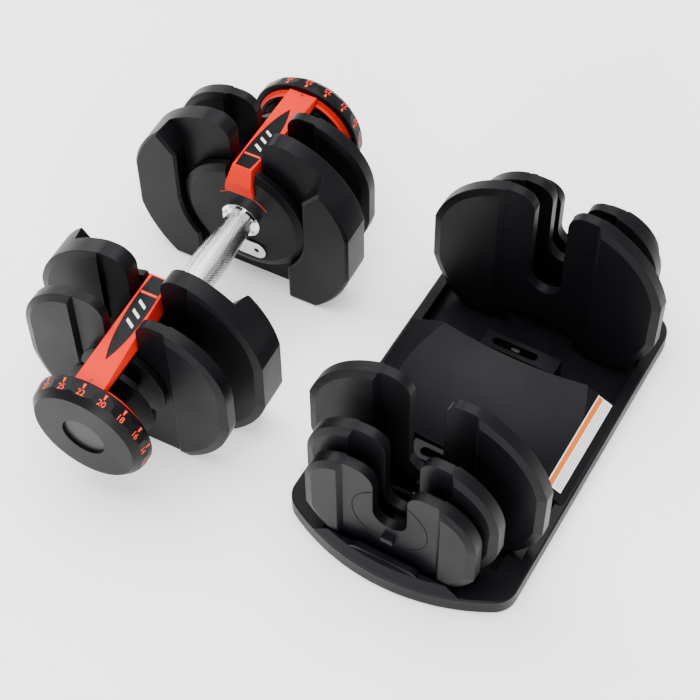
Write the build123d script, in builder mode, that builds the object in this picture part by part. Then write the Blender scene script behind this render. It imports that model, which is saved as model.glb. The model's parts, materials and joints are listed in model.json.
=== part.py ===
"""Dial-select dumbbell standing on the floor beside its storage tray.

Millimetres, +Z up. The origin is on the floor, at the middle of the whole
layout. The tray lies on the -Y side and the dumbbell on the +Y side. The
dumbbell is built about its own axle: its X runs along the axle, and every
height is counted from the axle. The tray is built about its own middle.
"""

import os
from math import atan2, cos, hypot, radians, sin, sqrt

from build123d import *

os.makedirs("parts", exist_ok=True)

# ---- where the two halves of the layout stand ----
TRAY_X, TRAY_Y = 22.1, -146.95         # middle of the tray
BELL_X, BELL_Y = -7.1, 142.65          # middle of the dumbbell
BELL_YAW = 2.5                         # the dumbbell is turned a little against the tray
AXLE_Z = 91.0                          # axle above the floor, dumbbell standing
DOCK_Z = 95.3                          # axle above the floor, dumbbell in the tray

# ---- weight plates: heights and widths are counted from the axle ----
PITCH = 21.8                           # from one plate to the next along the axle
SLOT_X = [119.0 + n * PITCH for n in range(4)]  # middles of the four outer plate places
RIM_HALF = 6.0                         # half thickness at the rim
PAD_DEPTH = 3.3                        # the faces stand this much proud of the rim
BAND_T_HALF = 4.8                      # half thickness of the middle band
CREST_ROUND = 16.0                     # rounding on the outer corner of each lobe
SLOT_DROP = 5.0                        # the slot ends this far below the axle, plus its radius
BEVEL = 8.0                            # width of the bevel round the rim
BAND_HALF = 47.0                       # half width of the thin middle band
STEP = 4.0                             # width of the slope between band and wing
SLOT_HALF = 17.0                       # half width of the open slot for the axle
PLATE_BOTTOM = -91.0
TAB_TOP, TAB_BOTTOM, TAB_HALF = -34.0, -40.0, 6.0
TAB_REACH = 5.5                        # hook that the selector lip lifts
GROOVE_R = 38.0                        # turned ring on the smallest plate

LOBE_CORNER, LOBE_OUT = 18.0, 27.0     # corner beside the slot, and where the crest ends

# columns: half width, side facet top, side facet bottom, lobe height, bulge, bottom
BIG = (118.0, 27.0, -31.0, 104.0, 16.0, PLATE_BOTTOM)
CARRIED = (106.5, 20.0, -19.0, 91.0, 18.0, PLATE_BOTTOM)
LARGE = (118.0, 25.0, -31.0, 101.0, 14.0, PLATE_BOTTOM)
MEDIUM = (95.0, 6.0, -21.0, 71.0, 15.0, PLATE_BOTTOM)
SMALL = (84.5, 0.0, -40.0, 47.0, 12.0, PLATE_BOTTOM)

# ---- innermost plate, with wings that wrap round the guard disc ----
WING_X0, WEB_X0, INNER_X1 = 65.0, 84.0, 103.5
WING_CLEAR_R = 68.5                    # inner wall of the wings
WING_GAP_HALF = 50.0                   # straight gap between the wings, low down
# the top of a wing starts at this corner and slopes up and outwards, steeper at the web
WING_INNER_Y, WING_CORNER_Z = 69.0, 58.5
WING_RISE_FRONT, WING_RISE_WEB = 1.15, 1.75

# ---- handle ----
GRIP_END_R, GRIP_NECK_R, GRIP_MID_R = 14.6, 15.6, 17.2
ROD_R = 9.5
GUARD_X0, GUARD_X1, GUARD_R = 70.0, 80.0, 67.0
COLLAR_R, COLLAR_TIP_R, COLLAR_X0 = 21.0, 18.5, 63.0
ARM_HALF, ARM_CAVITY_HALF = 15.4, 8.0
ARM_TOP_HALF, ARM_FOOT_HALF = 10.5, 14.5  # the inner end is narrower at the top
ARM_FLARE = 2.0                        # each side is this much wider at the outer end
ARM_TOP_IN, ARM_TOP_OUT = 66.5, 54.0   # top of the bridge arm, inner and outer end
ARM_BOTTOM, ARM_CREST_X, ARM_END = 47.0, 75.5, 199.9
HOOD_STEP_R, HOOD_R, HOOD_IN_R = 49.5, 52.8, 45.6
HOOD_X0, HOOD_STEP_X, HOOD_X1 = 194.8, 198.5, 208.5
DETENT_X, DETENT_R, DETENT_Z = 204.5, 2.4, -50.9  # ball that clicks in the dial
ARM_LENGTH, ARM_DROP = ARM_END - ARM_CREST_X, ARM_TOP_IN - ARM_TOP_OUT
# slope of the arm's top, with its own origin at the inner end
ARM_SLOPE = Plane(origin=(ARM_CREST_X, 0, ARM_TOP_IN), x_dir=(ARM_LENGTH, 0, -ARM_DROP),
                  z_dir=(ARM_DROP, 0, ARM_LENGTH))
INLAY_DEPTH = 0.8

# ---- selector shaft and its discs ----
SHAFT_R, SHAFT_X0, SHAFT_X1 = 6.0, 81.0, 215.0
HUB_R, HUB_X0 = 14.5, 81.0
LIP_IN_R, LIP_OUT_R = 41.0, 44.5
LIP_X0, WEB_X, WEB_T = 6.6, 11.0, 2.0   # from the middle of the plate outwards
SETTINGS = 17
STEP_DEG = 360.0 / SETTINGS
SHOWN = 8                              # the setting that the dials show
UNITS = [4, 5, 4, 2, 1]                # weight steps of the plates, innermost first
DISC_AT = [97.5, *SLOT_X]

# ---- dial ----
DIAL_X0, DIAL_X1 = 200.5, 222.0
DIAL_R, DIAL_FACE_R = 59.5, 52.5
FLAT_BACK, FLAT_FRONT = 60.1, 55.9     # distance of the number flats from the axle
CUP_R, CUP_X = 53.8, 216.0
BADGE_R, BADGE_DEPTH = 22.0, 4.5

# ---- tray ----
TRAY_HALF_W, TRAY_END_R, TRAY_CORNER = 115.0, 209.0, 24.0
TRAY_FOOT, TRAY_TOP, POCKET_FLOOR = 2.0, 20.0, 4.0
CRADLE_HALF = 62.0
WELL_HALVES = [104.0, 89.5, 79.0, 68.0]  # the plate well narrows in steps, one per plate
WELL_END = SLOT_X[3] + RIM_HALF + PAD_DEPTH + 1.0
WALL_TOP, WALL_TOP_HALF, WALL_FOOT_HALF = 32.0, 66.0, 84.0
WALL_BASE_R, WALL_LEAN = 216.0, 22.0   # outer face of the end wall: radius low down, degrees
STOP_X1, STOP_HALF, STOP_TOP = 201.0, 36.0, 37.0  # block that the last plate leans on
DISH_Z, DISH_RX, DISH_RY = 16.0, 197.0, 312.0  # hollow under the grip: lowest point, radii
FLANK_Y, FLANK_TOP = 66.0, 40.5        # where the side slopes start
LABEL_NEAR, LABEL_FAR, LABEL_X0, LABEL_X1 = -104.5, -89.5, -53.0, 60.0
RIB_HALF, RIB_TOP = 40.0, 38.0
FOOT_X, FOOT_Y, FOOT_R = 150.0, 92.0, 8.0
LOCK_X0, LOCK_X1, LOCK_HALF, LOCK_TOP = 64.5, 83.5, 40.0, 25.0


BELL = Location((BELL_X, BELL_Y, AXLE_Z), (0, 0, BELL_YAW))
TRAY = Location((TRAY_X, TRAY_Y, 0))
DOCKED = Location((TRAY_X, TRAY_Y, DOCK_Z))
FLIP = Location((0, 0, 0), (0, 0, 180))
ENDS = {"far": Location(), "near": FLIP}


def write(piece, name, place):
    """Label one finished sub-part, put it where it stands and write it."""
    solid = piece.moved(place)
    solid.label = name
    export_step(solid, f"parts/{name}.step")


def write_both(piece, name, place):
    """Write the far and the near copy of a sub-part that is used at both ends."""
    for end, turn in ENDS.items():
        write(piece, f"{end}_{name}", place * turn)


def plate_outline(half, up, low, top, bulge, bottom):
    """Both lobes, the axle slot, the side facets and the flat foot of a plate."""
    corner = LOBE_CORNER
    lobe_in, lobe_out = SLOT_HALF + corner, SLOT_HALF + LOBE_OUT
    chord = hypot(half - lobe_out, top - up)
    nx, nz = (top - up) / chord, (half - lobe_out) / chord
    shoulder = ((half + lobe_out) / 2 + bulge * nx, (top + up) / 2 + bulge * nz)
    radius = hypot(half, low)
    foot = sqrt(radius**2 - bottom**2)
    turn = (atan2(low, half) + atan2(bottom, foot)) / 2
    with BuildLine() as outline:
        Line((0, bottom), (foot, bottom))
        ThreePointArc((foot, bottom), (radius * cos(turn), radius * sin(turn)), (half, low))
        Line((half, low), (half, up))
        ThreePointArc((half, up), shoulder, (lobe_out, top))
        Line((lobe_out, top), (lobe_in, top))
        mid = (lobe_in - corner * sin(radians(45)), top - corner * (1 - cos(radians(45))))
        ThreePointArc((lobe_in, top), mid, (SLOT_HALF, top - corner))
        Line((SLOT_HALF, top - corner), (SLOT_HALF, -SLOT_DROP))
        mid = (SLOT_HALF * sin(radians(45)), -SLOT_DROP - SLOT_HALF * cos(radians(45)))
        ThreePointArc((SLOT_HALF, -SLOT_DROP), mid, (0, -SLOT_DROP - SLOT_HALF))
        mirror(about=Plane.YZ)
    return outline.line


def crest_corners(corners, top):
    """The outer corners of the two lobes, among the corners of a plate's face."""
    lobe_out = SLOT_HALF + LOBE_OUT
    return [c for c in corners if abs(abs(c.X) - lobe_out) < 0.1 and abs(c.Y - top) < 0.1]


def bevelled_slab(shape, start, rim, depth):
    """A slab from start to rim along X, then one bevelled step of the given depth."""
    half, up, low, top, bulge, bottom = shape
    crown = (half - BEVEL, up - 2, low + 2, top - BEVEL, bulge, bottom + BEVEL)
    with BuildPart() as slab:
        with BuildSketch(Plane.YZ.offset(start)):
            with BuildLine():
                add(plate_outline(*shape))
            make_face()
            fillet(crest_corners(vertices(), top), CREST_ROUND)
        extrude(amount=rim - start)
        with BuildSketch(Plane.YZ.offset(rim)) as base:
            with BuildLine():
                add(plate_outline(*shape))
            make_face()
            fillet(crest_corners(vertices(), top), CREST_ROUND)
        with BuildSketch(Plane.YZ.offset(rim + depth)) as face:
            with BuildLine():
                add(plate_outline(*crown))
            make_face()
            fillet(crest_corners(vertices(), top - BEVEL), CREST_ROUND)
        loft(sections=[base.sketch.face(), face.sketch.face()], ruled=True)
    return slab.part


# ============ plates that stay in the tray and the carried outer plate ============
def standard_plate(middle, shape):
    """A flat plate with a bevelled rim, thin middle band, slot and selector hook."""
    face_half = RIM_HALF + PAD_DEPTH
    outer_half = bevelled_slab(shape, middle, middle + RIM_HALF, PAD_DEPTH)
    with BuildPart() as plate:
        add(outer_half)
        mirror(outer_half, about=Plane.YZ.offset(middle))
        with BuildSketch(Plane.XY.offset(-150)):
            for side in (-1, 1):
                outer, inner = middle + side * (face_half + 1), middle + side * BAND_T_HALF
                wide = BAND_HALF + STEP * (face_half + 1 - BAND_T_HALF) / (face_half - BAND_T_HALF)
                Polygon((outer, -wide), (inner, -BAND_HALF), (inner, BAND_HALF), (outer, wide),
                        align=None)
        extrude(amount=300, mode=Mode.SUBTRACT)
        with BuildSketch(Plane.YZ.offset(middle + BAND_T_HALF)):
            with Locations((0, (TAB_TOP + TAB_BOTTOM) / 2)):
                Rectangle(2 * TAB_HALF, TAB_TOP - TAB_BOTTOM)
        extrude(amount=TAB_REACH)
    return plate


large_plate = standard_plate(SLOT_X[0], LARGE)
with BuildPart() as arched_plate:
    add(large_plate.part)
    with BuildSketch(Plane.YZ.offset(SLOT_X[0])):
        with Locations((0, PLATE_BOTTOM)):
            RectangleRounded(76, 52, 10)
        with Locations((0, PLATE_BOTTOM + 25)):
            Rectangle(24, 10)
    extrude(amount=20, both=True, mode=Mode.SUBTRACT)
write_both(arched_plate.part, "tray_plate_large", DOCKED)

medium_plate = standard_plate(SLOT_X[2], MEDIUM)
write_both(medium_plate.part, "tray_plate_medium", DOCKED)

small_plate = standard_plate(SLOT_X[3], SMALL)
with BuildPart() as grooved_plate:
    add(small_plate.part)
    with BuildSketch(Plane.YZ.offset(SLOT_X[3] + BAND_T_HALF)):
        with Locations((0, -11)):
            Circle(GROOVE_R)
            Circle(GROOVE_R - 1, mode=Mode.SUBTRACT)
    extrude(amount=-0.6, mode=Mode.SUBTRACT)
write_both(grooved_plate.part, "tray_plate_small", DOCKED)

carried_plate = standard_plate(SLOT_X[1], CARRIED)
write_both(carried_plate.part, "outer_plate", BELL)

# ============ innermost plate: wings reach inwards round the guard disc ============
with BuildPart() as wing:
    with BuildSketch(Plane.YZ.offset(WING_X0)):
        with BuildLine():
            add(plate_outline(*BIG))
        make_face()
        with Locations((-100, 0)):
            Rectangle(200, 300, mode=Mode.SUBTRACT)
        Circle(WING_CLEAR_R, mode=Mode.SUBTRACT)
        with Locations((0, 75)):
            Rectangle(2 * WING_INNER_Y, 150, mode=Mode.SUBTRACT)
        with Locations((0, -75)):
            Rectangle(2 * WING_GAP_HALF, 150, mode=Mode.SUBTRACT)
    extrude(amount=WEB_X0 - WING_X0)
    for at, rise in ((WING_X0, WING_RISE_FRONT), (WEB_X0, WING_RISE_WEB)):
        with BuildSketch(Plane.YZ.offset(at)):
            low, high = WING_CORNER_Z - 10 * rise, WING_CORNER_Z + 60 * rise
            Polygon((WING_INNER_Y - 10, low), (WING_INNER_Y + 60, high), (WING_INNER_Y - 10, high),
                    align=None)
    loft(ruled=True, mode=Mode.SUBTRACT)
    front = wing.faces().sort_by(Axis.X)[0]
    chamfer(front.edges(), length=2.5)
with BuildPart() as inner_plate:
    add(bevelled_slab(BIG, WEB_X0, INNER_X1 - 2.5, 2.5))
    add(wing.part)
    mirror(wing.part, about=Plane.XZ)
    with BuildSketch(Plane.XY.offset(-150)):
        with Locations((INNER_X1, 0)):
            Rectangle(5, 2 * BAND_HALF)
    extrude(amount=300, mode=Mode.SUBTRACT)
    with BuildSketch(Plane.YZ.offset(INNER_X1 - 2.5)):
        with Locations((0, (TAB_TOP + TAB_BOTTOM) / 2)):
            Rectangle(2 * TAB_HALF, TAB_TOP - TAB_BOTTOM)
    extrude(amount=DISC_AT[0] + BAND_T_HALF + TAB_REACH - INNER_X1 + 2.5)
write_both(inner_plate.part, "inner_plate", BELL)

# ============ handle: rod, grip, collars, guard discs ============
with BuildPart() as core_rod:
    with BuildSketch(Plane.YZ.offset(-GUARD_X1)):
        Circle(ROD_R)
    extrude(amount=2 * GUARD_X1)
write(core_rod.part, "core_rod", BELL)

with BuildPart() as grip:
    with BuildSketch(Plane.XZ):
        with BuildLine():
            Line((-COLLAR_X0, ROD_R), (-COLLAR_X0, GRIP_END_R))
            Spline((-COLLAR_X0, GRIP_END_R), (-34, GRIP_NECK_R), (0, GRIP_MID_R),
                   (34, GRIP_NECK_R), (COLLAR_X0, GRIP_END_R))
            Line((COLLAR_X0, GRIP_END_R), (COLLAR_X0, ROD_R))
            Line((COLLAR_X0, ROD_R), (-COLLAR_X0, ROD_R))
        make_face()
    revolve(axis=Axis.X)
write(grip.part, "grip", BELL)

with BuildPart() as collar:
    with BuildSketch(Plane.XZ):
        with BuildLine():
            Polyline((COLLAR_X0, ROD_R), (COLLAR_X0, COLLAR_TIP_R), (COLLAR_X0 + 2, COLLAR_R),
                     (GUARD_X0, COLLAR_R), (GUARD_X0, ROD_R), close=True)
        make_face()
    revolve(axis=Axis.X)
    with BuildSketch(Plane.YZ.offset(COLLAR_X0)):
        with PolarLocations(16.8, 6, start_angle=30):
            SlotOverall(5, 2.6, rotation=90)
    extrude(amount=2.5, mode=Mode.SUBTRACT)
write_both(collar.part, "collar", BELL)

with BuildPart() as guard_disc:
    with BuildSketch(Plane.YZ.offset(GUARD_X0)):
        Circle(GUARD_R)
        Circle(ROD_R, mode=Mode.SUBTRACT)
    extrude(amount=GUARD_X1 - GUARD_X0)
    rim = guard_disc.faces().sort_by(Axis.X)[0].edges().sort_by(SortBy.LENGTH)[-1]
    chamfer([rim], length=3, length2=8)
    with BuildSketch(Plane.YZ.offset(GUARD_X0)):
        with Locations((0, 66)):
            Rectangle(2 * ARM_HALF, 2 * (66 - 42))
    extrude(amount=GUARD_X1 - GUARD_X0, mode=Mode.SUBTRACT)
write_both(guard_disc.part, "guard_disc", BELL)

def inlay_outline():
    """A long shield that is widest in its first half and ends in a point."""
    with BuildLine() as outline:
        Line((1.5, 0), (1.5, 7.6))
        ThreePointArc((1.5, 7.6), (30, 9.6), (58, 8.4))
        ThreePointArc((58, 8.4), (81, 5.0), (97, 0))
        mirror(about=Plane.XZ)
    return outline.line


def arm_side(side):
    """The plane of one side of the arm, leaning inwards and flaring towards the dial."""
    lean, height = ARM_FOOT_HALF - ARM_TOP_HALF, ARM_TOP_IN - ARM_BOTTOM
    return Plane(origin=(ARM_CREST_X, side * ARM_TOP_HALF, ARM_TOP_IN),
                 x_dir=(0, side * lean, -height),
                 z_dir=(-ARM_FLARE * height, side * ARM_LENGTH * height, ARM_LENGTH * lean))


# ============ bridge arm with the ring that carries the dial ============
with BuildPart() as arm:
    with BuildSketch(Plane.XZ.offset(-ARM_HALF)):
        with BuildLine():
            Polyline((66.5, 37), (66.5, 50), (ARM_CREST_X, ARM_TOP_IN), (ARM_END, ARM_TOP_OUT),
                     (ARM_END, ARM_BOTTOM), (GUARD_X1, ARM_BOTTOM), (GUARD_X1, 42),
                     (GUARD_X0, 42), (GUARD_X0, 37), close=True)
        make_face()
    extrude(amount=2 * ARM_HALF)
    for side in (-1, 1):
        split(bisect_by=arm_side(side), keep=Keep.BOTTOM)
    with BuildSketch(Plane.XZ.offset(-ARM_CAVITY_HALF)):
        with BuildLine():
            Polyline((86, ARM_BOTTOM - 1), (86, ARM_TOP_IN - 5), (190, ARM_TOP_OUT - 2.5),
                     (190, ARM_BOTTOM - 1), close=True)
        make_face()
    extrude(amount=2 * ARM_CAVITY_HALF, mode=Mode.SUBTRACT)
    with BuildSketch(Plane.XZ):
        with BuildLine():
            Polyline((HOOD_X0, HOOD_IN_R), (HOOD_X0, HOOD_STEP_R), (HOOD_STEP_X, HOOD_STEP_R),
                     (HOOD_STEP_X + 1, HOOD_R), (HOOD_X1, HOOD_R), (HOOD_X1, HOOD_IN_R), close=True)
        make_face()
    revolve(axis=Axis.X)
    with BuildSketch(Plane.YZ.offset(84)):
        Circle(HOOD_IN_R)
    extrude(amount=HOOD_X1 - 84, mode=Mode.SUBTRACT)
    with BuildSketch(Plane.XY.offset(-HOOD_R - 1)):
        with Locations((DETENT_X, 0)):
            Circle(DETENT_R)
    extrude(amount=12, mode=Mode.SUBTRACT)
    with BuildSketch(Plane.XY.offset(ARM_TOP_OUT - 20)):
        with Locations((196, 0)):
            Circle(1.6)
    extrude(amount=40, mode=Mode.SUBTRACT)
    with BuildSketch(ARM_SLOPE):
        with BuildLine():
            add(inlay_outline())
        make_face()
    extrude(amount=-INLAY_DEPTH, mode=Mode.SUBTRACT)
write_both(arm.part, "arm", BELL)

with BuildPart() as arm_inlay:
    with BuildSketch(ARM_SLOPE.offset(-INLAY_DEPTH)):
        with BuildLine():
            add(inlay_outline())
        make_face()
    extrude(amount=INLAY_DEPTH - 0.2)
write_both(arm_inlay.part, "arm_inlay", BELL)

with BuildPart() as arm_screw:
    with BuildSketch(Plane.XY.offset(HOOD_IN_R)):
        with Locations((196, 0)):
            Circle(1.6)
    extrude(amount=ARM_TOP_OUT + 0.3 - HOOD_IN_R)
write_both(arm_screw.part, "arm_screw", BELL)

with BuildPart() as detent_ball:
    with Locations((DETENT_X, 0, DETENT_Z)):
        Sphere(DETENT_R - 0.1)
write_both(detent_ball.part, "detent_ball", BELL)

with BuildPart() as detent_spring:
    with BuildSketch(Plane.XY.offset(DETENT_Z + DETENT_R)):
        with Locations((DETENT_X, 0)):
            Circle(DETENT_R - 0.3)
            Circle(DETENT_R - 0.9, mode=Mode.SUBTRACT)
    extrude(amount=2.6)
write_both(detent_spring.part, "detent_spring", BELL)

with BuildPart() as lock_tongue:
    with BuildSketch(Plane.YZ.offset(GUARD_X0 - 1.9)):
        with Locations((-6, -41.5)):
            RectangleRounded(36, 21, 10)
        with Locations((-14, -41.5)):
            Circle(2.8, mode=Mode.SUBTRACT)
    extrude(amount=1.5)
write_both(lock_tongue.part, "lock_tongue", BELL)

# ============ selector: shaft, five lifting discs, dial ============
with BuildPart() as selector_shaft:
    with BuildSketch(Plane.YZ.offset(SHAFT_X0)):
        Circle(SHAFT_R)
    extrude(amount=SHAFT_X1 - SHAFT_X0)
    with BuildSketch(Plane.YZ.offset(SHAFT_X1 - 12)):
        Circle(2.5)
    extrude(amount=12, mode=Mode.SUBTRACT)
write_both(selector_shaft.part, "selector_shaft", BELL)

hub_start = HUB_X0
for number, middle in enumerate(DISC_AT):
    carried = []
    for setting in range(SETTINGS):
        rest = setting
        for plate, units in enumerate(UNITS):
            lifted = rest >= units
            if lifted:
                rest = rest - units
            if lifted and plate == number:
                carried.append(setting)
    with BuildPart() as selector_disc:
        with BuildSketch(Plane.YZ.offset(hub_start)):
            Circle(HUB_R)
        extrude(amount=middle + WEB_X - hub_start)
        with BuildSketch(Plane.YZ.offset(middle + WEB_X)):
            Circle(LIP_OUT_R)
        extrude(amount=WEB_T)
        with BuildSketch(Plane.YZ.offset(middle + LIP_X0)):
            for setting in carried:
                turn = radians(-90 + (setting - SHOWN) * STEP_DEG)
                half = radians(STEP_DEG / 2 + 0.1)
                Polygon((0, 0), (60 * cos(turn - half), 60 * sin(turn - half)),
                        (60 * cos(turn + half), 60 * sin(turn + half)), align=None)
            Circle(LIP_OUT_R, mode=Mode.INTERSECT)
            Circle(LIP_IN_R, mode=Mode.SUBTRACT)
        extrude(amount=WEB_X - LIP_X0)
        with BuildSketch(Plane.YZ.offset(hub_start)):
            Circle(SHAFT_R)
        extrude(amount=middle + WEB_X + WEB_T - hub_start, mode=Mode.SUBTRACT)
    write_both(selector_disc.part, f"selector_disc_{number + 1}", BELL)
    hub_start = middle + WEB_X + WEB_T

with BuildPart() as dial:
    with BuildSketch(Plane.XZ):
        with BuildLine():
            Polyline((hub_start, SHAFT_R), (hub_start, HUB_R), (CUP_X, HUB_R), (CUP_X, 47),
                     (211, CUP_R), (DIAL_X0, CUP_R), (DIAL_X0, DIAL_R - 1), (DIAL_X0 + 1, DIAL_R),
                     (213, DIAL_R), (219.5, DIAL_FACE_R + 1.5), (DIAL_X1, DIAL_FACE_R - 1),
                     (DIAL_X1, BADGE_R), (DIAL_X1 - BADGE_DEPTH, BADGE_R),
                     (DIAL_X1 - BADGE_DEPTH, 7), (SHAFT_X1, 7), (SHAFT_X1, SHAFT_R), close=True)
        make_face()
    revolve(axis=Axis.X)
    for at, reach in ((DIAL_X0, FLAT_BACK), (DIAL_X1, FLAT_FRONT)):
        with BuildSketch(Plane.YZ.offset(at)):
            RegularPolygon(reach, SETTINGS, major_radius=False, rotation=90 + STEP_DEG / 2)
    loft(ruled=True, mode=Mode.INTERSECT)
    with BuildSketch(Plane.YZ.offset(hub_start)):
        Circle(HUB_R)
        Circle(SHAFT_R, mode=Mode.SUBTRACT)
    extrude(amount=DIAL_X0 - hub_start)
write_both(dial.part, "dial", BELL)

with BuildPart() as badge:
    with BuildSketch(Plane.YZ.offset(DIAL_X1 - BADGE_DEPTH)):
        Circle(BADGE_R)
    extrude(amount=1.5)
write_both(badge.part, "badge", BELL)

with BuildPart() as end_screw:
    with BuildSketch(Plane.YZ.offset(SHAFT_X1)):
        Circle(7)
    extrude(amount=DIAL_X1 - BADGE_DEPTH - SHAFT_X1)
    with BuildSketch(Plane.YZ.offset(SHAFT_X1 - 12)):
        Circle(2.5)
    extrude(amount=12)
write_both(end_screw.part, "end_screw", BELL)

# ============ tray ============
with BuildPart() as wall_block:
    with BuildSketch(Plane.YZ.offset(WELL_END)):
        with BuildLine():
            Line((-WALL_FOOT_HALF, POCKET_FLOOR), (WALL_FOOT_HALF, POCKET_FLOOR))
            Line((WALL_FOOT_HALF, POCKET_FLOOR), (WALL_FOOT_HALF, TRAY_TOP - 2))
            Spline((WALL_FOOT_HALF, TRAY_TOP - 2), (WALL_TOP_HALF, WALL_TOP),
                   tangents=((-1, 0), (-1, 0)))
            Line((WALL_TOP_HALF, WALL_TOP), (-WALL_TOP_HALF, WALL_TOP))
            Spline((-WALL_TOP_HALF, WALL_TOP), (-WALL_FOOT_HALF, TRAY_TOP - 2),
                   tangents=((-1, 0), (-1, 0)))
            Line((-WALL_FOOT_HALF, TRAY_TOP - 2), (-WALL_FOOT_HALF, POCKET_FLOOR))
        make_face()
    extrude(amount=TRAY_END_R - WELL_END)
    with BuildSketch(Plane.XY.offset(TRAY_FOOT)):
        Circle(WALL_BASE_R)
    extrude(amount=WALL_TOP, taper=WALL_LEAN, mode=Mode.INTERSECT)
    with BuildSketch(Plane.XY.offset(TRAY_FOOT)):
        Circle(TRAY_END_R - 0.5)
    extrude(amount=WALL_TOP, mode=Mode.INTERSECT)
    with BuildSketch(Plane.YZ.offset(WELL_END)):
        with Locations((0, (POCKET_FLOOR + STOP_TOP) / 2)):
            RectangleRounded(2 * STOP_HALF, STOP_TOP - POCKET_FLOOR, 9)
    extrude(amount=STOP_X1 - WELL_END)
end_wall = wall_block.part

with BuildPart() as tray_shell:
    with BuildSketch(Plane.XY.offset(TRAY_FOOT)):
        Circle(TRAY_END_R)
        Rectangle(2 * TRAY_END_R, 2 * TRAY_HALF_W, mode=Mode.INTERSECT)
        fillet(vertices(), TRAY_CORNER)
    extrude(amount=TRAY_TOP - TRAY_FOOT)
    chamfer(tray_shell.faces().sort_by(Axis.Z)[-1].edges(), length=1.5)
    add(end_wall)
    mirror(end_wall, about=Plane.YZ)
    with BuildSketch(Plane.XY.offset(POCKET_FLOOR)):
        for middle, half in zip(SLOT_X, WELL_HALVES):
            reach = min(middle + PITCH / 2 + 1.5, WELL_END)
            Rectangle(2 * reach, 2 * half)
        Rectangle(2 * CRADLE_HALF, 2 * TRAY_HALF_W, mode=Mode.SUBTRACT)
    extrude(amount=60, mode=Mode.SUBTRACT)
    with BuildSketch(Plane.YZ.offset(-CRADLE_HALF)):
        with BuildLine():
            Polyline((-TRAY_HALF_W, TRAY_FOOT), (-TRAY_HALF_W, TRAY_TOP - 1.5),
                     (-FLANK_Y, FLANK_TOP), (FLANK_Y, FLANK_TOP),
                     (TRAY_HALF_W, TRAY_TOP - 1.5), (TRAY_HALF_W, TRAY_FOOT), close=True)
        make_face()
    extrude(amount=2 * CRADLE_HALF)
    with BuildSketch(Plane.XZ):
        with BuildLine():
            edge = CRADLE_HALF + 4
            rise = DISH_Z + DISH_RX - sqrt(DISH_RX**2 - edge**2)
            ThreePointArc((-edge, rise), (0, DISH_Z), (edge, rise))
            Polyline((edge, rise), (edge, DISH_Z + DISH_RY), (-edge, DISH_Z + DISH_RY), (-edge, rise))
        make_face()
    revolve(axis=Axis((0, 0, DISH_Z + DISH_RY), (1, 0, 0)), mode=Mode.SUBTRACT)
    with BuildSketch(Plane.XY.offset(TRAY_FOOT)):
        Rectangle(2 * CRADLE_HALF - 8, 160)
    extrude(amount=DISH_Z - TRAY_FOOT - 4, mode=Mode.SUBTRACT)
    with BuildSketch(Plane.XY.offset(POCKET_FLOOR)):
        for side in (-1, 1):
            for middle in DISC_AT[1:-1]:
                with Locations((side * (middle + PITCH / 2), 0)):
                    Rectangle(3, 2 * RIB_HALF)
    extrude(amount=RIB_TOP - POCKET_FLOOR)
    with BuildSketch(Plane.XY.offset(POCKET_FLOOR)):
        for side in (-1, 1):
            with Locations((side * (LOCK_X0 + LOCK_X1) / 2, 0)):
                Rectangle(LOCK_X1 - LOCK_X0, 2 * LOCK_HALF)
    extrude(amount=LOCK_TOP - POCKET_FLOOR)
    with BuildSketch(Plane.XY.offset(12)):
        for side in (-1, 1):
            with Locations((side * 74, 6)):
                SlotOverall(48, 9, rotation=90)
    extrude(amount=20, mode=Mode.SUBTRACT)
write(tray_shell.part, "tray_shell", TRAY)

with BuildPart() as lock_posts:
    with BuildSketch(Plane.XY.offset(12)):
        for side in (-1, 1):
            with Locations((side * 75.5, 6)):
                SlotOverall(9, 4, rotation=90)
    extrude(amount=9)
write(lock_posts.part, "tray_lock_posts", TRAY)

with BuildPart() as feet:
    with BuildSketch():
        for side in (-1, 1):
            with Locations((side * FOOT_X, FOOT_Y), (side * FOOT_X, -FOOT_Y)):
                Circle(FOOT_R)
    extrude(amount=TRAY_FOOT)
write(feet.part, "tray_feet", TRAY)

slope = (FLANK_TOP - TRAY_TOP + 1.5) / (TRAY_HALF_W - FLANK_Y)
low = TRAY_TOP - 1.5 + (LABEL_NEAR + TRAY_HALF_W) * slope
high = TRAY_TOP - 1.5 + (LABEL_FAR + TRAY_HALF_W) * slope
with BuildPart() as tray_label:
    with BuildSketch(Plane.YZ.offset(LABEL_X0)):
        with BuildLine():
            Polyline((LABEL_NEAR, low), (LABEL_FAR, high), (LABEL_FAR, high + 0.3),
                     (LABEL_NEAR, low + 0.3), close=True)
        make_face()
    extrude(amount=LABEL_X1 - LABEL_X0)
write(tray_label.part, "tray_label", TRAY)
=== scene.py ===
"""Looks of the dial-select dumbbell and its storage tray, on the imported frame.

Metres, +Z up. "Bell" space runs along the handle's axle with its origin at the
middle of the axle; "tray" space has its origin on the floor under the tray.
"""
import math

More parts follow.
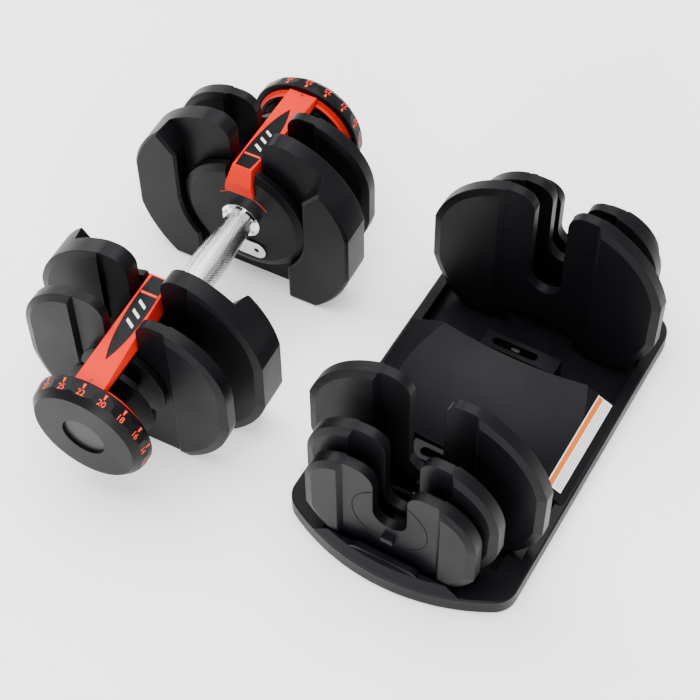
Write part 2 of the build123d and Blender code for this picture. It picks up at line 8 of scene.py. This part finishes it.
import bmesh
import bpy
from mathutils import Matrix, Vector
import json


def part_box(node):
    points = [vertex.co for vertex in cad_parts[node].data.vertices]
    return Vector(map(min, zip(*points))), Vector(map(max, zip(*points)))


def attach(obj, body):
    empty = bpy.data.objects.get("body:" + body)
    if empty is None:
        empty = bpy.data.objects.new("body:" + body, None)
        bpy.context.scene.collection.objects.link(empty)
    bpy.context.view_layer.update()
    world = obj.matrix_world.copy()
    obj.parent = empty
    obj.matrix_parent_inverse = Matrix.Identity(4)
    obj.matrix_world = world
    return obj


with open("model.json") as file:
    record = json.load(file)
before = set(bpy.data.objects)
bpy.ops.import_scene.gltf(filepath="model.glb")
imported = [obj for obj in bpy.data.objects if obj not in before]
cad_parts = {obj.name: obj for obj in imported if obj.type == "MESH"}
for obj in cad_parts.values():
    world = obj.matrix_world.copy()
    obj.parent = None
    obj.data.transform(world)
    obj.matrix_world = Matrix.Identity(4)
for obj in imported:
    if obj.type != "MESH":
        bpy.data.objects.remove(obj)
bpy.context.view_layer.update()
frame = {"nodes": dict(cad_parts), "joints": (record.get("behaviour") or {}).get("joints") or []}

MM = 0.001
NODES = frame["nodes"]
ENDS = {"far": 1, "near": -1}

# ---- places, worked out from the frame ----
DIAL_TURN = {j["name"]: j for j in frame["joints"]}["far_dial_turn"]
AXLE = Vector(DIAL_TURN["axis"]).normalized()
YAW = math.atan2(AXLE.y, AXLE.x)
BELL = Matrix.Translation(Vector(DIAL_TURN["pos_m"])) @ Matrix.Rotation(YAW, 4, "Z")
TRAY_LOW, TRAY_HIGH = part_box("tray_shell")
TRAY = Matrix.Translation(((TRAY_LOW.x + TRAY_HIGH.x) / 2, (TRAY_LOW.y + TRAY_HIGH.y) / 2, 0))

# ---- sizes that the details need, in millimetres unless the line says otherwise ----
DIAL_X0, DIAL_X1 = 200.5, 222.0        # back and front of the dial along the axle
FLAT_BACK, FLAT_FRONT = 60.1, 55.9     # number flats: distance from the axle at both ends
DIGIT_X, DIGIT_SIZE, DIGIT_DEPTH = DIAL_X0 + 12.3, 8.0, 0.12
WEDGE_X, WEDGE_HALF, WEDGE_DEPTH = DIAL_X0 + 5.7, 2.5, 0.15
NUMBERS = [4, 7, 9, 11, 14, 16, 18, 20, 22, 25, 27, 29, 32, 34, 36, 39, 41]   # kilograms
SHOWN = NUMBERS.index(22)              # the number that faces up
ARM_IN, ARM_OUT = Vector((75.5, 0, 66.5)) * MM, Vector((199.9, 0, 54)) * MM   # crest, metres
ARM_PRINT_DEPTH, ARM_PRINT_SUNK = 0.12, 0.2
BAR_COUNT, BAR_START, BAR_PITCH = 3, 28, 11
LIP_X, LIP_INNER, LIP_OUTER, LIP_DEPTH = 194.8, 45.7, 49.4, 0.25
GUARD_FACE_X = 70
ARC_INNER, ARC_OUTER, ARC_DEPTH = 34.6, 35.4, 0.1
ARC_FROM, ARC_TO = 38, 132             # degrees
LABEL_DEPTH, RULE_COUNT, RULE_PITCH, RULE_WIDTH = 0.06, 4, 2.1, 0.5
KNURL_PITCH, KNURL_HALF_LENGTH, GRIP_RADIUS = 0.0023, 0.060, 0.0165           # metres
FLOOR_REACH = 6.0                      # metres


def end_space(end):
    """Bell space of one end: x grows outwards from the middle of the handle."""
    return BELL if end == "far" else BELL @ Matrix.Rotation(math.pi, 4, "Z")


# ============ materials ============
class Nodes:
    """A small helper that adds nodes to one material and links them by name."""

    def __init__(self, name):
        self.material = bpy.data.materials.new(name)
        self.material.use_nodes = True
        self.tree = self.material.node_tree
        self.tree.nodes.clear()
        self.out = self.add("ShaderNodeOutputMaterial")
        self.shader = self.add("ShaderNodeBsdfPrincipled")
        self.link(self.shader, "BSDF", self.out, "Surface")

    def add(self, kind, **values):
        node = self.tree.nodes.new(kind)
        for key, value in values.items():
            setattr(node, key, value)
        return node

    def link(self, source, output, target, socket):
        self.tree.links.new(source.outputs[output], target.inputs[socket])

    def set(self, **values):
        for key, value in values.items():
            self.shader.inputs[key.replace("_", " ")].default_value = value


def grain(mat, scale, strength, distance, rounding):
    """Fine moulded grain over softly rounded edges; returns the last normal node."""
    place = mat.add("ShaderNodeTexCoord")
    noise = mat.add("ShaderNodeTexNoise")
    noise.inputs["Scale"].default_value = scale
    noise.inputs["Detail"].default_value = 3
    mat.link(place, "Object", noise, "Vector")
    edge = mat.add("ShaderNodeBevel", samples=6)
    edge.inputs["Radius"].default_value = rounding
    bump = mat.add("ShaderNodeBump")
    bump.inputs["Strength"].default_value = strength
    bump.inputs["Distance"].default_value = distance
    mat.link(noise, "Fac", bump, "Height")
    mat.link(edge, "Normal", bump, "Normal")
    mat.link(bump, "Normal", mat.shader, "Normal")
    return bump


def vary_roughness(mat, low, high, scale):
    """Handling wear: roughness drifts between two values in broad soft patches."""
    place = mat.add("ShaderNodeTexCoord")
    noise = mat.add("ShaderNodeTexNoise")
    noise.inputs["Scale"].default_value = scale
    noise.inputs["Detail"].default_value = 5
    ramp = mat.add("ShaderNodeMapRange")
    ramp.inputs["From Min"].default_value = 0.35
    ramp.inputs["From Max"].default_value = 0.65
    ramp.inputs["To Min"].default_value = low
    ramp.inputs["To Max"].default_value = high
    mat.link(place, "Object", noise, "Vector")
    mat.link(noise, "Fac", ramp, "Value")
    mat.link(ramp, "Result", mat.shader, "Roughness")


def plastic(name, color, low, high, strength=0.12, shine=0.5, rounding=0.0009):
    mat = Nodes(name)
    mat.set(Base_Color=(*color, 1), IOR=1.48, Specular_IOR_Level=shine)
    vary_roughness(mat, low, high, 14)
    grain(mat, 2200, strength, 0.0003, rounding)
    return mat.material


def metal(name, color, roughness, rounding=0.0004):
    mat = Nodes(name)
    mat.set(Base_Color=(*color, 1), Metallic=1.0)
    vary_roughness(mat, roughness * 0.7, roughness * 1.3, 60)
    grain(mat, 900, 0.05, 0.0001, rounding)
    return mat.material


def knurled_chrome(name):
    """Chrome with diamond knurling over the grip, painted shade darkening the knurl grooves, and
    a bright band at each end.
    """
    mat = Nodes(name)
    mat.set(Base_Color=(0.86, 0.86, 0.88, 1), Metallic=1.0, Roughness=0.09)
    place = mat.add("ShaderNodeTexCoord")
    turn = mat.add("ShaderNodeMapping", vector_type="TEXTURE")
    turn.inputs["Location"].default_value = BELL.translation
    turn.inputs["Rotation"].default_value = (0, 0, YAW)
    split = mat.add("ShaderNodeSeparateXYZ")
    mat.link(place, "Object", turn, "Vector")
    mat.link(turn, "Vector", split, "Vector")

    def calc(operation, first, second=None, third=None):
        node = mat.add("ShaderNodeMath", operation=operation)
        for index, value in enumerate((first, second, third)):
            if isinstance(value, (int, float)):
                node.inputs[index].default_value = value
            elif value is not None:
                mat.tree.links.new(value, node.inputs[index])
        return node.outputs[0]

    along, across, up = split.outputs[0], split.outputs[1], split.outputs[2]
    around = calc("MULTIPLY", calc("ARCTAN2", across, up), GRIP_RADIUS)
    rows = []
    for sign in (1, -1):
        slant = calc("MULTIPLY_ADD", around, sign, along)
        wave = calc("SINE", calc("MULTIPLY", slant, math.pi / KNURL_PITCH))
        rows.append(calc("ABSOLUTE", wave))
    diamond = calc("MINIMUM", rows[0], rows[1])
    zone = calc("LESS_THAN", calc("ABSOLUTE", along), KNURL_HALF_LENGTH)
    bump = mat.add("ShaderNodeBump")
    bump.inputs["Strength"].default_value = 0.5
    bump.inputs["Distance"].default_value = 0.0004
    mat.tree.links.new(calc("MULTIPLY", diamond, zone), bump.inputs["Height"])
    mat.link(bump, "Normal", mat.shader, "Normal")
    rough = calc("MULTIPLY_ADD", zone, 0.12, 0.07)
    mat.tree.links.new(rough, mat.shader.inputs["Roughness"])
    # painted shade: the base colour turns dark grey in the knurl grooves, in place of the shade
    # that falls in them
    groove_shade_mask = calc("MULTIPLY", calc("LESS_THAN", diamond, 0.24), zone)
    shade = mat.add("ShaderNodeMix", data_type="RGBA")
    shade.inputs[6].default_value = (0.86, 0.86, 0.88, 1)
    shade.inputs[7].default_value = (0.10, 0.10, 0.11, 1)
    mat.tree.links.new(groove_shade_mask, shade.inputs[0])
    mat.tree.links.new(shade.outputs[2], mat.shader.inputs["Base Color"])
    return mat.material


COVER = plastic("plate_cover", (0.0024, 0.0023, 0.0033), 0.36, 0.46, shine=0.12)
TRAY_SKIN = plastic("tray_skin", (0.0024, 0.0023, 0.0036), 0.36, 0.46, shine=0.12)
DIAL_BLACK = plastic("dial_black", (0.0024, 0.0024, 0.003), 0.36, 0.46, strength=0.05,
                     shine=0.12)
DISC_BLACK = plastic("disc_black", (0.0022, 0.0022, 0.003), 0.36, 0.48, shine=0.12)
RED = plastic("red_shell", (0.62, 0.010, 0.0015), 0.45, 0.55, strength=0.03, shine=0.1)
CORAL = plastic("coral_print", (0.75, 0.05, 0.018), 0.5, 0.6, strength=0.0, shine=0.1)
WHITE = plastic("white_print", (0.74, 0.74, 0.73), 0.45, 0.55, strength=0.0)
GREY_PRINT = plastic("grey_print", (0.34, 0.34, 0.35), 0.45, 0.55, strength=0.0)
ORANGE = plastic("orange_print", (0.62, 0.13, 0.003), 0.5, 0.6, strength=0.0, shine=0.1)
GRAPHITE = plastic("badge_graphite", (0.008, 0.008, 0.009), 0.3, 0.4, strength=0.02,
                   shine=0.2)
RUBBER = plastic("foot_rubber", (0.02, 0.02, 0.02), 0.7, 0.8)
CHROME = metal("chrome", (0.86, 0.86, 0.88), 0.08)
STEEL = metal("bare_steel", (0.60, 0.60, 0.61), 0.30)
BLACK_STEEL = metal("black_steel", (0.05, 0.05, 0.05), 0.35)
GRIP_CHROME = knurled_chrome("grip_chrome")

FINISHES = {
    "tray_shell": TRAY_SKIN, "tray_lock_posts": BLACK_STEEL, "tray_feet": RUBBER,
    "tray_label": WHITE, "tray_plate": COVER, "outer_plate": COVER, "inner_plate": COVER,
    "grip": GRIP_CHROME,
    "core_rod": STEEL, "collar": CHROME, "guard_disc": DISC_BLACK, "arm_inlay": DIAL_BLACK,
    "arm_screw": BLACK_STEEL, "arm": RED, "detent": STEEL, "lock_tongue": STEEL,
    "selector_shaft": STEEL, "selector_disc": DISC_BLACK, "end_screw": BLACK_STEEL,
    "dial": DIAL_BLACK, "badge": GRAPHITE,
}


def paint_cad():
    """Each CAD node takes the finish whose name begins its own, without the end's name."""
    for name, node in NODES.items():
        short = name.removeprefix("far_").removeprefix("near_")
        finish = next(FINISHES[key] for key in FINISHES if short.startswith(key))
        node.data.materials.clear()
        node.data.materials.append(finish)


# ============ helpers for new pieces ============
def add_piece(name, mesh, material, body, space):
    mesh.materials.clear()
    mesh.materials.append(material)
    piece = bpy.data.objects.new(name, mesh)
    bpy.context.collection.objects.link(piece)
    piece.matrix_world = space
    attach(piece, body)
    return piece


def text_mesh(words, size, depth):
    """A flat text in its own X-Y plane, centred, as a mesh in metres."""
    curve = bpy.data.curves.new("words", "FONT")
    curve.body = words
    curve.size = size * MM
    curve.extrude = depth * MM
    curve.align_x = "CENTER"
    curve.align_y = "CENTER"
    curve.offset = size * MM * 0.012
    holder = bpy.data.objects.new("words", curve)
    bpy.context.collection.objects.link(holder)
    bpy.context.view_layer.update()
    mesh = bpy.data.meshes.new_from_object(holder)
    bpy.data.objects.remove(holder)
    return mesh


def polygon_mesh(name, points, depth):
    """A thin plate with that outline in X-Y (millimetres), its top at depth above zero."""
    builder = bmesh.new()
    top = builder.faces.new([builder.verts.new((x * MM, y * MM, 0)) for x, y in points])
    made = bmesh.ops.extrude_face_region(builder, geom=[top])
    raised = [v for v in made["geom"] if isinstance(v, bmesh.types.BMVert)]
    bmesh.ops.translate(builder, vec=(0, 0, depth * MM), verts=raised)
    bmesh.ops.recalc_face_normals(builder, faces=builder.faces)
    mesh = bpy.data.meshes.new(name)
    builder.to_mesh(mesh)
    builder.free()
    return mesh


def ring_mesh(name, inner, outer, start, stop, depth, steps=64):
    """A flat ring sector in X-Y (millimetres and degrees), with that thickness."""
    builder = bmesh.new()
    rows = []
    for step in range(steps + 1):
        turn = math.radians(start + (stop - start) * step / steps)
        row = []
        for radius in (inner, outer):
            for height in (0, depth):
                at = (radius * math.cos(turn) * MM, radius * math.sin(turn) * MM, height * MM)
                row.append(builder.verts.new(at))
        rows.append(row)
    for first, second in zip(rows, rows[1:]):
        for a, b in ((0, 1), (1, 3), (3, 2), (2, 0)):
            builder.faces.new((first[a], first[b], second[b], second[a]))
    if abs(stop - start) < 360:
        for row in (rows[0], rows[-1]):
            builder.faces.new((row[0], row[1], row[3], row[2]))
    bmesh.ops.remove_doubles(builder, verts=builder.verts, dist=1e-6)
    bmesh.ops.recalc_face_normals(builder, faces=builder.faces)
    mesh = bpy.data.meshes.new(name)
    builder.to_mesh(mesh)
    builder.free()
    return mesh


def lay_on_dial(mesh, x_middle, turn):
    """Lay a flat mesh on one number flat of the dial: its Y points inboard."""
    rotation = Matrix.Rotation(-turn, 4, "X")
    for vertex in mesh.vertices:
        flat = vertex.co.copy()
        along = x_middle - flat.y / MM
        share = (along - DIAL_X0) / (DIAL_X1 - DIAL_X0)
        reach = (FLAT_BACK + share * (FLAT_FRONT - FLAT_BACK)) * MM
        vertex.co = rotation @ Vector((along * MM, flat.x, reach + flat.z))


# ============ dial: numbers and pointers ============
def dial_prints(end):
    space = end_space(end)
    body = f"{end}_selector"
    step = 2 * math.pi / len(NUMBERS)
    wedge_outline = [(-0.6, -WEDGE_HALF), (0.6, -WEDGE_HALF), (1.5, WEDGE_HALF),
                     (-1.5, WEDGE_HALF)]
    for index, number in enumerate(NUMBERS):
        turn = (index - SHOWN) * step
        digits = text_mesh(str(number), DIGIT_SIZE, DIGIT_DEPTH)
        lay_on_dial(digits, DIGIT_X, -turn)
        add_piece(f"{end}_number_{number}", digits, CORAL, body, space)
        wedge = polygon_mesh("wedge", wedge_outline, WEDGE_DEPTH)
        lay_on_dial(wedge, WEDGE_X, -turn)
        add_piece(f"{end}_tick_{number}", wedge, CORAL, body, space)


# ============ arm: stripe and bars on the inlay ============
def arm_prints(end):
    """A red stripe and three plain slanted bars on the dark inlay of the arm."""
    drop = math.atan2(ARM_IN.z - ARM_OUT.z, ARM_OUT.x - ARM_IN.x)
    face = end_space(end) @ Matrix.Translation(ARM_IN) @ Matrix.Rotation(drop, 4, "Y")
    space = face @ Matrix.Translation((0, 0, -ARM_PRINT_SUNK * MM))
    stripe = polygon_mesh("stripe", [(19, -8.6), (21.6, -8.6), (21.6, 8.6), (19, 8.6)],
                          ARM_PRINT_DEPTH)
    add_piece(f"{end}_arm_stripe", stripe, CORAL, "dumbbell", space)
    for index in range(BAR_COUNT):
        x = BAR_START + BAR_PITCH * index
        bar = polygon_mesh("bar", [(x, -4.6), (x + 3.4, -4.6), (x + 9, 4.6), (x + 5.6, 4.6)],
                           ARM_PRINT_DEPTH)
        add_piece(f"{end}_arm_bar_{index}", bar, WHITE, "dumbbell", space)


# ============ dark lip on the inboard edge of the arm's ring ============
def hood_lip(end):
    space = end_space(end) @ Matrix.Translation((LIP_X * MM, 0, 0)) @ Matrix.Rotation(
        -math.pi / 2, 4, "Y")
    lip = ring_mesh("lip", LIP_INNER, LIP_OUTER, 0, 360, LIP_DEPTH)
    add_piece(f"{end}_hood_lip", lip, DISC_BLACK, "dumbbell", space)


# ============ guard disc: red arc ============
def guard_prints(end):
    space = end_space(end) @ Matrix.Translation((GUARD_FACE_X * MM, 0, 0)) @ Matrix.Rotation(
        -math.pi / 2, 4, "Y") @ Matrix.Rotation(-math.pi / 2, 4, "Z")
    arc = ring_mesh("arc", ARC_INNER, ARC_OUTER, ARC_FROM, ARC_TO, ARC_DEPTH)
    add_piece(f"{end}_guard_arc", arc, CORAL, "dumbbell", space)


# ============ tray label: orange head band and plain grey rules ============
def label_prints():
    low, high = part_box("tray_label")
    rise = math.atan2(high.z - 0.3 * MM - low.z, high.y - low.y)
    space = Matrix.Translation((low.x, low.y, low.z + 0.32 * MM)) @ Matrix.Rotation(rise, 4, "X")
    length, width = (high.x - low.x) / MM, (high.y - low.y) / MM / math.cos(rise)
    head = polygon_mesh("head", [(1, width - 6), (length - 1, width - 6),
                                 (length - 1, width - 1.2), (1, width - 1.2)], LABEL_DEPTH)
    add_piece("label_head", head, ORANGE, "tray", space)
    for row in range(RULE_COUNT):
        y = 1.6 + RULE_PITCH * row
        rule = polygon_mesh("rule", [(3, y), (length - 3, y), (length - 3, y + RULE_WIDTH),
                                     (3, y + RULE_WIDTH)], LABEL_DEPTH)
        add_piece(f"label_rule_{row}", rule, GREY_PRINT, "tray", space)


# ============ stage ============
def studio():
    floor_mesh = bpy.data.meshes.new("floor")
    reach = FLOOR_REACH
    corners = [(-reach, -reach, 0), (reach, -reach, 0), (reach, reach, 0), (-reach, reach, 0)]
    floor_mesh.from_pydata(corners, [], [(0, 1, 2, 3)])
    floor = bpy.data.objects.new("floor", floor_mesh)
    bpy.context.collection.objects.link(floor)
    mat = Nodes("floor_white")
    mat.set(Base_Color=(0.95, 0.95, 0.95, 1), Roughness=0.8, Emission_Color=(1, 1, 1, 1),
            Emission_Strength=0.3)
    floor.data.materials.append(mat.material)
    world = bpy.data.worlds.new("studio")
    bpy.context.scene.world = world
    world.use_nodes = True
    background = world.node_tree.nodes["Background"]
    background.inputs["Color"].default_value = (1, 1, 1, 1)
    background.inputs["Strength"].default_value = 1.1


def area_light(name, place, target, size, power):
    light = bpy.data.lights.new(name, "AREA")
    light.shape = "RECTANGLE"
    light.size, light.size_y = size
    light.energy = power
    lamp = bpy.data.objects.new(name, light)
    bpy.context.collection.objects.link(lamp)
    aim = Vector(target) - Vector(place)
    facing = aim.to_track_quat("-Z", "Y").to_matrix().to_4x4()
    lamp.matrix_world = Matrix.Translation(place) @ facing


def camera():
    """Looks down over the near end of the tray, from its -Y side."""
    tilt, heading, roll = math.radians(53.33), math.radians(30.51), math.radians(-0.85)
    distance, lens_mm, sensor_mm = 1.7897, 92.9314, 36
    target = TRAY @ Vector((9.63 * MM, 154.45 * MM, 0))
    ahead = Vector((math.cos(heading) * math.cos(tilt), math.sin(heading) * math.cos(tilt),
                    -math.sin(tilt)))
    right = ahead.cross(Vector((0, 0, 1))).normalized()
    up = right.cross(ahead)
    right_rolled = math.cos(roll) * right + math.sin(roll) * up
    up_rolled = -math.sin(roll) * right + math.cos(roll) * up
    data = bpy.data.cameras.new("camera")
    data.sensor_width = sensor_mm
    data.lens = lens_mm
    data.clip_start, data.clip_end = 0.05, 20
    view = bpy.data.objects.new("camera", data)
    bpy.context.collection.objects.link(view)
    turn = Matrix((right_rolled, up_rolled, -ahead)).transposed().to_4x4()
    view.matrix_world = Matrix.Translation(target - ahead * distance) @ turn
    bpy.context.scene.camera = view


paint_cad()
for end_name in ENDS:
    dial_prints(end_name)
    arm_prints(end_name)
    hood_lip(end_name)
    guard_prints(end_name)
label_prints()
studio()
area_light("top", (0.3, 0.4, 2.6), (0, 0, 0), (3.0, 3.0), 175)
area_light("front", (-2.2, -0.6, 1.0), (0, 0, 0.1), (1.2, 1.0), 55)
area_light("back", (0.6, 2.4, 1.2), (0, 0, 0.1), (2.0, 0.6), 34)
camera()
